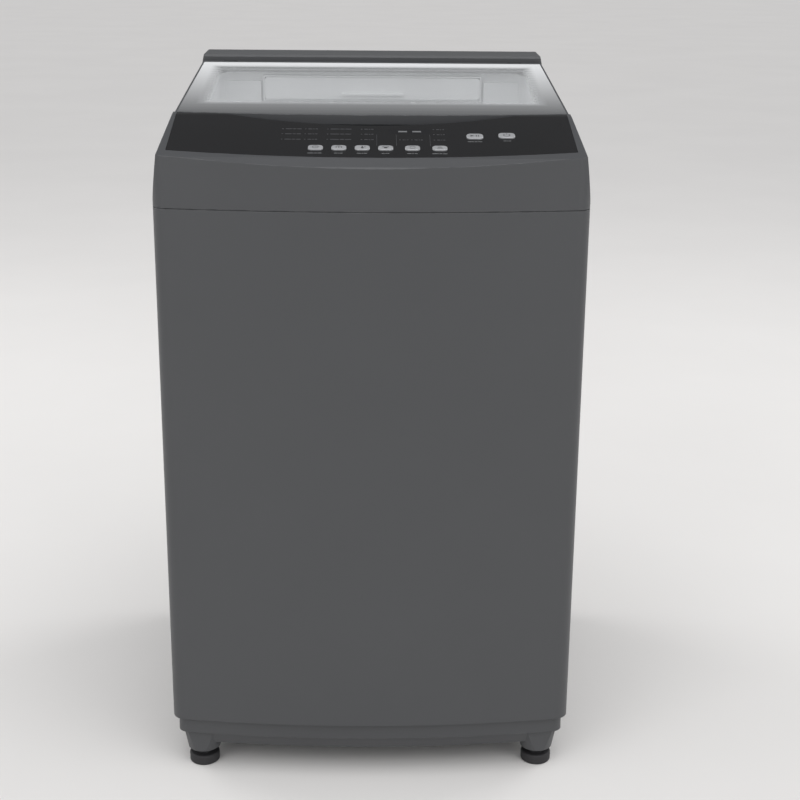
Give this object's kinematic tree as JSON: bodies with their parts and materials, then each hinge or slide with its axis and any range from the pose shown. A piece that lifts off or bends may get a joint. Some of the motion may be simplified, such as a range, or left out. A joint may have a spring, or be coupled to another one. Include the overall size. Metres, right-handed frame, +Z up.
{
  "type": "top load washing machine",
  "caption": "Compact top load washing machine with a hinged glass lid, sloping control panel, suspended tub, spinning basket and pulsator.",
  "frame": {"origin": "on the floor below the middle of the bounding box", "axes": "+Z up, +Y to the rear, +X to the right seen from the front"},
  "size_m": [0.54, 0.552, 0.93],
  "materials": {
    "cabinet_paint": "fine satin powder coat, dark grey",
    "rear_steel": "satin grey coated sheet",
    "steel": "zinc plated",
    "stainless": "bright stainless",
    "grey_plastic": "satin moulded plastic, dark grey",
    "black_gloss": "gloss black",
    "smoked_lens": "smoked gloss",
    "button_silver": "satin silver paint",
    "lid_glass": "tempered, printed border",
    "white_plastic": "smooth white",
    "tub_plastic": "moulded polypropylene",
    "rubber": "black rubber",
    "cast_alloy": "die cast",
    "motor_black": "black enamel",
    "board_green": "circuit board",
    "valve_white": "nylon",
    "magnet": "ferrite"
  },
  "bodies": {
    "root": {"cabinet": "cabinet_paint", "rear_panel": "rear_steel", "rear_screws": "steel", "base_frame": "grey_plastic", "top_cover": "grey_plastic", "control_fascia": "black_gloss", "display_lens": "smoked_lens", "control_board": "board_green", "hinge_brackets": "grey_plastic", "hinge_pins": "steel", "lid_sensor": "motor_black", "rear_housing": "grey_plastic", "inlet_valves": "valve_white", "splash_collar": "white_plastic", "dispenser_housing": "white_plastic", "corner_brackets": "steel", "suspension_rods": "steel", "drain_pump": "valve_white", "drain_outlet": "tub_plastic", "cord_gland": "rubber", "level_sensor": "valve_white", "capacitor": "cast_alloy"},
    "lid": {"lid_frame": "grey_plastic", "lid_glass": "lid_glass", "lid_bumpers": "rubber", "lid_magnet": "magnet"},
    "drawer": {"dispenser_drawer": "white_plastic"},
    "tub": {"outer_tub": "tub_plastic", "tub_ring": "tub_plastic", "drive_bracket": "steel", "drive_bolts": "steel", "gearbox_housing": "cast_alloy", "drive_motor": "motor_black", "drive_belt": "rubber", "suspension_springs": "steel", "damper_cups": "tub_plastic", "drain_bellows": "rubber"},
    "basket": {"wash_basket": "stainless", "balance_ring": "tub_plastic", "basket_base": "tub_plastic", "drive_hub": "cast_alloy"},
    "filter_left": {"lint_filter_left": "white_plastic"},
    "filter_right": {"lint_filter_right": "white_plastic"},
    "agitator": {"pulsator": "white_plastic", "pulsator_cap": "white_plastic", "wash_shaft": "steel", "driven_pulley": "cast_alloy"},
    "rotor": {"motor_rotor": "steel"},
    "button_delay_body": {"button_delay": "button_silver"},
    "button_speed_body": {"button_speed": "button_silver"},
    "button_temperature_body": {"button_temperature": "button_silver"},
    "button_soil_body": {"button_soil": "button_silver"},
    "button_cycle_body": {"button_cycle": "button_silver"},
    "button_water_level_body": {"button_water_level": "button_silver"},
    "button_start_body": {"button_start": "button_silver"},
    "button_power_body": {"button_power": "button_silver"},
    "foot_1_body": {"foot_1": "rubber"},
    "foot_2_body": {"foot_2": "rubber"},
    "foot_3_body": {"foot_3": "rubber"},
    "foot_4_body": {"foot_4": "rubber"}
  },
  "joints": [
    {"name": "lid_hinge", "type": "hinge", "parent": "root", "child": "lid", "pos_m": [0, 0.176, 0.91301], "axis": [-1, 0, 0], "range_deg": [0, 90]},
    {"name": "button_delay_press", "type": "slide", "parent": "root", "child": "button_delay_body", "axis": [0, 0.2504, -0.9681], "range_m": [0, 0.0008], "stiffness_N_per_m": 600, "springref_m": -0.001},
    {"name": "button_speed_press", "type": "slide", "parent": "root", "child": "button_speed_body", "axis": [0, 0.2504, -0.9681], "range_m": [0, 0.0008], "stiffness_N_per_m": 600, "springref_m": -0.001},
    {"name": "button_temperature_press", "type": "slide", "parent": "root", "child": "button_temperature_body", "axis": [0, 0.2504, -0.9681], "range_m": [0, 0.0008], "stiffness_N_per_m": 600, "springref_m": -0.001},
    {"name": "button_soil_press", "type": "slide", "parent": "root", "child": "button_soil_body", "axis": [0, 0.2504, -0.9681], "range_m": [0, 0.0008], "stiffness_N_per_m": 600, "springref_m": -0.001},
    {"name": "button_cycle_press", "type": "slide", "parent": "root", "child": "button_cycle_body", "axis": [0, 0.2504, -0.9681], "range_m": [0, 0.0008], "stiffness_N_per_m": 600, "springref_m": -0.001},
    {"name": "button_water_level_press", "type": "slide", "parent": "root", "child": "button_water_level_body", "axis": [0, 0.2504, -0.9681], "range_m": [0, 0.0008], "stiffness_N_per_m": 600, "springref_m": -0.001},
    {"name": "button_start_press", "type": "slide", "parent": "root", "child": "button_start_body", "axis": [0, 0.2504, -0.9681], "range_m": [0, 0.0008], "stiffness_N_per_m": 600, "springref_m": -0.001},
    {"name": "button_power_press", "type": "slide", "parent": "root", "child": "button_power_body", "axis": [0, 0.2504, -0.9681], "range_m": [0, 0.0008], "stiffness_N_per_m": 600, "springref_m": -0.001},
    {"name": "drawer_slide", "type": "slide", "parent": "root", "child": "drawer", "axis": [0, -1, 0], "range_m": [0, 0.06]},
    {"name": "foot_1_adjust", "type": "slide", "parent": "root", "child": "foot_1_body", "axis": [0, 0, -1], "range_m": [0, 0.012]},
    {"name": "foot_2_adjust", "type": "slide", "parent": "root", "child": "foot_2_body", "axis": [0, 0, -1], "range_m": [0, 0.012]},
    {"name": "foot_3_adjust", "type": "slide", "parent": "root", "child": "foot_3_body", "axis": [0, 0, -1], "range_m": [0, 0.012]},
    {"name": "foot_4_adjust", "type": "slide", "parent": "root", "child": "foot_4_body", "axis": [0, 0, -1], "range_m": [0, 0.012]},
    {"name": "tub_suspension", "type": "slide", "parent": "root", "child": "tub", "axis": [0, 0, 1], "range_m": [-0.025, 0.01], "stiffness_N_per_m": 9800, "springref_m": 0.02671, "deforming": ["suspension_springs", "drain_bellows"]},
    {"name": "basket_spin", "type": "hinge", "parent": "tub", "child": "basket", "pos_m": [0, -0.007, 0.3], "axis": [0, 0, 1], "continuous": true},
    {"name": "agitator_turn", "type": "hinge", "parent": "tub", "child": "agitator", "pos_m": [0, -0.007, 0.26], "axis": [0, 0, 1], "continuous": true},
    {"name": "rotor_spin", "type": "hinge", "parent": "tub", "child": "rotor", "pos_m": [-0.135, -0.007, 0.1], "axis": [0, 0, 1], "continuous": true},
    {"name": "filter_left_pull", "type": "slide", "parent": "basket", "child": "filter_left", "axis": [1, 0, 0], "range_m": [0, 0.03]},
    {"name": "filter_right_pull", "type": "slide", "parent": "basket", "child": "filter_right", "axis": [-1, 0, 0], "range_m": [0, 0.03]}
  ],
  "couplings": [
    {"joint": "rotor_spin", "follows": "agitator_turn", "ratio": 2.7544}
  ]
}
